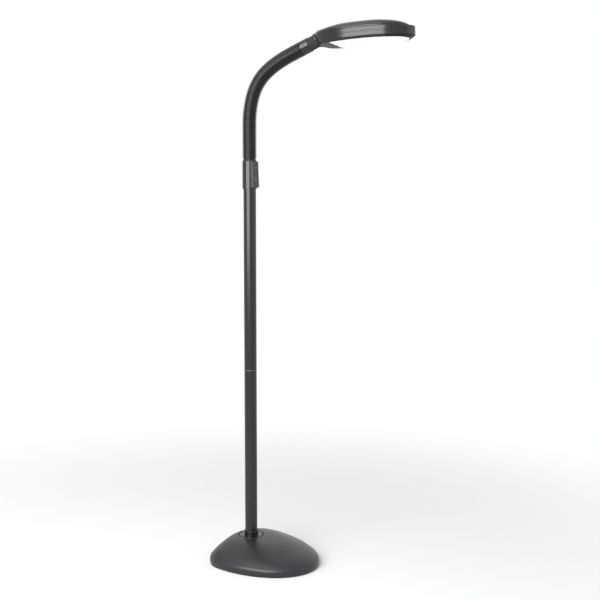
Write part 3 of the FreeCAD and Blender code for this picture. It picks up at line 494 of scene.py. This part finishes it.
head = dict(tilt=1.9, mouthRadius=15.9, mouthSlant=0.5774, mouthHeight=13.77, rootX=8.0, rootWidth=15.0,
            widestX=116.0, halfWidth=57.45, length=221.9, shoulderPower=0.43, bottom=-13.3, wallBottom=-8.0,
            seam=1.0, wallTop=10.3, wall=2.2,
            hollowTip=5.6, mouthDepth=12, chamfer=2.0, tipChamfer=9.0, ledge=1.0, tipLedge=11.0,
            bezelFloor=-10.1, bezelWall=2.5, roof=2.0, crownCorner=2.3,
            ridgeX=(0, 10, 20, 30, 40, 50, 58, 70, 85, 125),
            ridge=(13.7, 18.8, 21.7, 23.5, 25.0, 26.5, 27.6, 28.8, 29.4, 29.4),
            panelStart=46.6, panelStartHalf=43.0, panelHalf=53.5, panelTip=208.6, panelProud=0.6)
headCentre = neckJoint[-1] + (ferrule["length"] + ferrule["ringLength"]) * neckWay[-1]
bodyRun = np.concatenate([np.linspace(0, 30, 21), np.linspace(32, 116, 43)])      # stations from the mouth
tipTurn = np.radians(np.linspace(3, 90, 30))                                      # then angles round the tip


def headPlace(points):
    return placeAlong(points, headCentre, -head["tilt"])


def racketHalf(x):
    # root + (half - root) sin(90 share)^power, where share runs from the root to the widest line
    share = np.clip((x - head["rootX"]) / (head["widestX"] - head["rootX"]), 0, 1)
    swell = np.sin(np.pi / 2 * share) ** head["shoulderPower"]
    return head["rootWidth"] + (head["halfWidth"] - head["rootWidth"]) * swell


def sideLine(z, inset, tipInset, mouthInset):
    # half the plan outline at height z: the mouth's circle gives way to the racket over the first stations, and
    # past the widest line it closes as a quarter ellipse; the mouth's slant fades out along the way
    mouth = head["mouthRadius"] * np.sqrt(np.clip(1 - (z / head["mouthHeight"]) ** 2, 0.02, 1))
    k = ease(bodyRun / 18)
    half = np.maximum(mouth * (1 - k) + racketHalf(bodyRun) * k - inset, 0.6)
    slant = 1 - ease(bodyRun / 34)
    x = bodyRun + slant * (mouthInset - head["mouthSlant"] * z)
    reach = head["length"] - head["widestX"] - tipInset
    x = np.concatenate([x, head["widestX"] + reach * np.sin(tipTurn)])
    half = np.concatenate([half, (head["halfWidth"] - inset) * np.cos(tipTurn)])
    return x, half


def closeLoop(x, half, z):
    # right side out to the tip, left side back, and across the mouth
    x, half = np.concatenate([x, x[-2::-1]]), np.concatenate([-half, half[-2::-1]])
    across = np.linspace(half[-1], half[0], 12)[1:-1]
    x, half = np.concatenate([x, np.full(10, x[0])]), np.concatenate([half, across])
    return np.stack([x, half, z + 0 * x], -1)


def headRing(z, inset=0.0, tipInset=0.0, mouthInset=0.0):
    return closeLoop(*sideLine(z, inset, tipInset, mouthInset), z)


def panelRing(grow, z):
    # straight across at the panel's start, then the racket outline drawn in by the bezel's width
    start = head["panelStart"] - grow
    inset = head["halfWidth"] - head["panelHalf"] - grow
    x, half = sideLine(0.0, inset, head["length"] - head["panelTip"] - grow, 0.0)
    along = bodyRun > head["panelStart"] + 1
    first = int(np.argmax(along))
    corner = head["panelStartHalf"] + grow
    x[:first] = start
    half[:first] = np.linspace(corner * 0.25, corner, first)
    loop = closeLoop(x, half, z)
    loop[-10:, 1] = np.linspace(half[0], -half[0], 12)[1:-1]
    return loop


def buildBand():
    w = head["wall"]
    top, roof = head["wallTop"], head["wallTop"] - head["roof"]
    hollow = (w, head["hollowTip"], head["mouthDepth"])
    inner = (w + head["ledge"], head["tipLedge"] + w / 2, head["mouthDepth"])
    rings = [headRing(top), headRing(head["seam"]), headRing(head["seam"], *hollow), headRing(roof, *hollow),
             headRing(roof, *inner), headRing(top, *inner)]
    band = ringPiece("headBand", headPlace(roundRings(np.array(rings), [0.9, 0.45, 0.2, 0.2, 0.2, 0.2])),
                     finishes["headPlastic"])
    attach(band, "head")
    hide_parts("head_side_band")


def buildBezel():
    b, f = head["bottom"], head["bezelFloor"]
    hollow = (head["bezelWall"], head["hollowTip"], head["mouthDepth"])
    rings = [headRing(head["seam"]), headRing(head["wallBottom"]),
             headRing(b, head["chamfer"], head["tipChamfer"]), panelRing(0.15, b), panelRing(0.15, f),
             headRing(f, *hollow), headRing(head["seam"], *hollow)]
    bezel = ringPiece("headBezel", headPlace(roundRings(np.array(rings), [0.45, 0.8, 0.8, 0.3, 0.2, 0.3, 0.2])),
                      finishes["headPlastic"])
    bezel.data.materials.append(finishes["bezelPlastic"])
    slots = np.zeros(len(bezel.data.polygons), np.int32)
    facing = np.zeros(len(slots) * 3)
    bezel.data.polygons.foreach_get("normal", facing)
    slots[facing.reshape(-1, 3)[:, 2] < -0.5] = 1      # its underside is matt
    bezel.data.polygons.foreach_set("material_index", slots)
    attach(bezel, "head")
    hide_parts("head_bezel")


def crownSheet(drop):
    # at each station, y = half sin^(2/n) and z = foot + height cos^(2/n), where the height follows the ridge line
    # and, past its level stretch, a quarter ellipse down to the tip
    x, half = sideLine(head["wallTop"], head["ledge"] + drop, head["tipLedge"] + drop, 0.0)
    level = head["ridgeX"][-1]
    tip = head["length"] - head["tipLedge"] - drop
    station = np.minimum(np.concatenate([bodyRun, x[len(bodyRun):]]), level)
    height = smoothTable(station, head["ridgeX"], head["ridge"])
    fall = np.sqrt(np.clip(1 - (np.maximum(x - level, 0) / (tip - level)) ** 2, 0, 1))
    height = np.maximum((height - head["wallTop"] - drop) * fall, 0)[:, None]
    a = np.linspace(-np.pi / 2, np.pi / 2, 65)[None, :]
    run = np.concatenate([bodyRun, np.full(len(tipTurn), 200.0)])[:, None]
    power = 2 / head["crownCorner"] * (2 - ease((run + 4) / 44))
    across = np.sign(a) * np.abs(np.sin(a)) ** (2 / head["crownCorner"])
    lift = height * np.cos(a).clip(0, 1) ** power
    slant = np.concatenate([1 - ease(bodyRun / 34), np.zeros(len(tipTurn))])[:, None]
    return np.stack([x[:, None] - slant * head["mouthSlant"] * lift + slant * drop * 3.6, half[:, None] * across,
                     head["wallTop"] + lift], -1)


def buildCrown():
    outer, inner = crownSheet(0.0), crownSheet(head["wall"])
    loop = np.concatenate([outer, inner[:, ::-1]], 1)
    rows, cols = loop.shape[:2]
    j = np.arange(64)
    faces = gridFaces(rows, cols, closeRows=False)
    mouth = np.stack([j, j + 1, cols - 2 - j, cols - 1 - j], -1)
    cover = makePiece("headCrown", headPlace(loop), np.concatenate([faces, mouth, mouth + (rows - 1) * cols]),
                      finishes["headPlastic"])
    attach(cover, "head")
    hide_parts("head_top_cover")


def buildDiffuser():
    low, high = head["bottom"] - head["panelProud"], head["bezelFloor"]
    middle = np.array([130.0, 0.0, 0.0])
    rings = roundRings(np.array([panelRing(-6.0, low), panelRing(0.0, low), panelRing(0.0, high),
                                 panelRing(1.2, high), panelRing(1.2, high + 1.2), panelRing(-6.0, high + 1.2)]),
                       [0.0, 0.7, 0.2, 0.2, 0.2, 0.0])
    shrink = np.array([0.0, 0.3, 0.6, 0.85])[:, None, None]
    lower, upper = rings[3], rings[-4]
    first = middle + (lower - middle) * [1, 1, 0] * shrink + lower * [0, 0, 1] - middle * [0, 0, 1]
    last = middle + (upper - middle) * [1, 1, 0] * shrink[::-1] + upper * [0, 0, 1]
    pane = ringPiece("opalPane", headPlace(np.concatenate([first, rings[3:-3], last])), finishes["opal"],
                     closeRows=False)
    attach(pane, "head")
    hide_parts("diffuser")


buildBand()
buildBezel()
buildCrown()
buildDiffuser()
print("head built")

# symbols on the buttons

symbol = dict(radius=2.1, stroke=0.85, proud=0.1, sunk=0.25, faceSlope=0.0444, gap=38)


def iconStroke(name, path, node, body):
    # a rectangle of stroke width and proud height carried along a path (y, z) from the button's middle, on a face
    # that leans back by faceSlope; both ends close to a point
    low, high = np.array(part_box(node)) / mm
    centre, path = (low + high) / 2, np.asarray(path, float)
    way = np.gradient(path, axis=0)
    way /= np.linalg.norm(way, axis=1, keepdims=True)
    side = np.stack([-way[:, 1], way[:, 0]], -1) * symbol["stroke"] / 2
    corner = np.stack([path + side, path + side, path - side, path - side], 1)
    lift = np.array([-symbol["sunk"], symbol["proud"], symbol["proud"], -symbol["sunk"]])[None, :]
    z = centre[2] + corner[..., 1]
    x = high[0] - symbol["faceSlope"] * (z - low[2]) + lift
    rings = np.stack([x, centre[1] + corner[..., 0], z], -1)
    first, last = (np.repeat(rings[e:e + 1].mean(1, keepdims=True), 4, 1) for e in (0, len(rings) - 1))
    mark = ringPiece(name, np.concatenate([first, rings, last]), finishes["iconPrint"], closeRows=False)
    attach(mark, body)


def iconArc(start, end):
    # angles from the top, in degrees, round a circle
    a = np.radians(np.linspace(start, end, 40))
    return symbol["radius"] * np.stack([np.sin(a), np.cos(a)], -1)


def iconBar(across, ends):
    # a straight stroke: along y when across is true, else along z
    t = np.linspace(*ends, 6)
    return np.stack([t, 0 * t] if across else [0 * t, t], -1)


def buildIcons():
    bodyOf = {node: body for body, nodes in frame["record"]["behaviour"]["bodies"].items() for node in nodes}
    r, gap = symbol["radius"], symbol["gap"]
    for name, path, node in (
            ("powerArc", iconArc(gap, 360 - gap), "power_button"),
            ("powerBar", iconBar(False, (0.3, 2.1)), "power_button"),
            ("minusBar", iconBar(True, (-r, r)), "left_button"),
            ("plusBar", iconBar(True, (-r, r)), "right_button"),
            ("plusUpright", iconBar(False, (-r, r)), "right_button"),
            ("modeRing", iconArc(0, 360), "mode_button")):
        iconStroke(name, path, node, bodyOf[node])


buildIcons()
print("button symbols built")

# finishes on the CAD nodes

nodeFinish = dict(
    bottom_cover="basePlastic", grip_pad="gripRubber", cover_screws="zincScrew", base_weight="castIron",
    pole_socket="plainSteel", socket_screws="zincScrew", cord_bushing="gripRubber", inside_cord="cordJacket",
    collar_housing="collarPlastic", control_pad="padPlastic", power_button="buttonPlastic",
    left_button="buttonPlastic", right_button="buttonPlastic", mode_button="buttonPlastic",
    control_board="boardGreen", switches="switchBlack", board_screws="zincScrew", stem_nut="plainSteel",
    ferrule_nut="plainSteel", light_guide="clearGuide", leds="ledWhite", led_board="boardAluminium",
    heat_spreader="spreaderAluminium", head_screws="zincScrew")
for nodeName, finishName in nodeFinish.items():
    for slot in frame["nodes"][nodeName].material_slots:
        slot.material = finishes[finishName]

# camera, floor and light

studio = dict(camera=(1.5529, -1.6733, 0.8184), pitch=84.573, turn=40.0, lens=60.0, floor=0.86, worldLight=0.4,
              key=170.0, top=30.0, fill=5.0, fadeStart=0.35, fadeEnd=1.5, floorHalf=30000.0)


def makeMaterialPlain(name, shade):
    m = bpy.data.materials.new(name)
    m.use_nodes = True
    shader = m.node_tree.nodes["Principled BSDF"]
    shader.inputs["Base Color"].default_value = (shade, shade, shade, 1)
    shader.inputs["Roughness"].default_value = 0.9
    return m


def fadeToWhite(m):
    # seen directly or in a reflection, the floor runs into plain white over a ring of radii about the lamp
    n, link = m.node_tree.nodes, m.node_tree.links.new
    place, reach, fade = n.new("ShaderNodeTexCoord"), n.new("ShaderNodeVectorMath"), n.new("ShaderNodeMapRange")
    reach.operation = "LENGTH"
    fade.interpolation_type = "SMOOTHSTEP"
    fade.inputs["From Min"].default_value = studio["fadeStart"]
    fade.inputs["From Max"].default_value = studio["fadeEnd"]
    link(place.outputs["Object"], reach.inputs[0])
    link(reach.outputs["Value"], fade.inputs["Value"])
    rays, seen, share = (n.new(kind) for kind in ("ShaderNodeLightPath", "ShaderNodeMath", "ShaderNodeMath"))
    seen.operation, share.operation = "MAXIMUM", "MULTIPLY"
    link(rays.outputs["Is Camera Ray"], seen.inputs[0])
    link(rays.outputs["Is Glossy Ray"], seen.inputs[1])
    link(seen.outputs[0], share.inputs[0])
    link(fade.outputs["Result"], share.inputs[1])
    white, mix = n.new("ShaderNodeEmission"), n.new("ShaderNodeMixShader")
    link(share.outputs[0], mix.inputs[0])
    link(n["Principled BSDF"].outputs[0], mix.inputs[1])
    link(white.outputs[0], mix.inputs[2])
    link(mix.outputs[0], n["Material Output"].inputs["Surface"])


def buildStudio():
    camera = bpy.data.cameras.new("photoCamera")
    camera.lens, camera.sensor_width = studio["lens"], 36.0
    view = bpy.data.objects.new("photoCamera", camera)
    view.location = studio["camera"]
    view.rotation_euler = (np.radians(studio["pitch"]), 0, np.radians(studio["turn"]))
    bpy.context.scene.collection.objects.link(view)
    bpy.context.scene.camera = view
    size = studio["floorHalf"]
    corners = np.array([[-size, -size, 0], [size, -size, 0], [size, size, 0], [-size, size, 0]])
    floor = makePiece("studioFloor", corners, [[0, 1, 2, 3]], makeMaterialPlain("pale floor", studio["floor"]))
    fadeToWhite(floor.data.materials[0])
    world = bpy.data.worlds.new("studioWorld")
    world.use_nodes = True
    n, link = world.node_tree.nodes, world.node_tree.links.new
    soft = n["Background"]
    soft.inputs["Color"].default_value = (1, 1, 1, 1)
    soft.inputs["Strength"].default_value = studio["worldLight"]
    white = n.new("ShaderNodeBackground")
    white.inputs["Color"].default_value = (1, 1, 1, 1)
    rays, seen, seenToo = n.new("ShaderNodeLightPath"), n.new("ShaderNodeMath"), n.new("ShaderNodeMath")
    seen.operation = seenToo.operation = "MAXIMUM"
    link(rays.outputs["Is Camera Ray"], seen.inputs[0])
    link(rays.outputs["Is Glossy Ray"], seen.inputs[1])
    link(seen.outputs[0], seenToo.inputs[0])
    link(rays.outputs["Is Transmission Ray"], seenToo.inputs[1])
    mix = n.new("ShaderNodeMixShader")
    link(seenToo.outputs[0], mix.inputs[0])
    link(soft.outputs[0], mix.inputs[1])
    link(white.outputs[0], mix.inputs[2])
    link(mix.outputs[0], n["World Output"].inputs["Surface"])
    bpy.context.scene.world = world
    bpy.context.scene.view_settings.view_transform = "Standard"


def softBox(name, azimuth, distance, height, width, tall, power, aim):
    # a rectangular light on the camera's side of the lamp: azimuth 0 looks along +Y
    a = np.radians(azimuth)
    where = np.array([np.sin(a) * distance, -np.cos(a) * distance, height])
    light = bpy.data.lights.new(name, "AREA")
    light.shape, light.size, light.size_y, light.energy = "RECTANGLE", width, tall, power
    lamp = bpy.data.objects.new(name, light)
    lamp.location = where
    direction = np.array(aim) - where
    pitch = np.arctan2(np.hypot(*direction[:2]), -direction[2])
    lamp.rotation_euler = (pitch, 0, np.arctan2(-direction[0], direction[1]))
    lamp.visible_camera = False
    bpy.context.scene.collection.objects.link(lamp)


buildStudio()
softBox("keySoftBox", 12, 3.0, 1.75, 3.2, 2.6, studio["key"], (0, 0, 1.0))
softBox("topSoftBox", 0, 1.2, 3.2, 2.6, 2.6, studio["top"], (0, 0, 0.8))
softBox("fillSoftBox", 120, 3.0, 1.4, 2.0, 2.0, studio["fill"], (0, 0, 0.8))
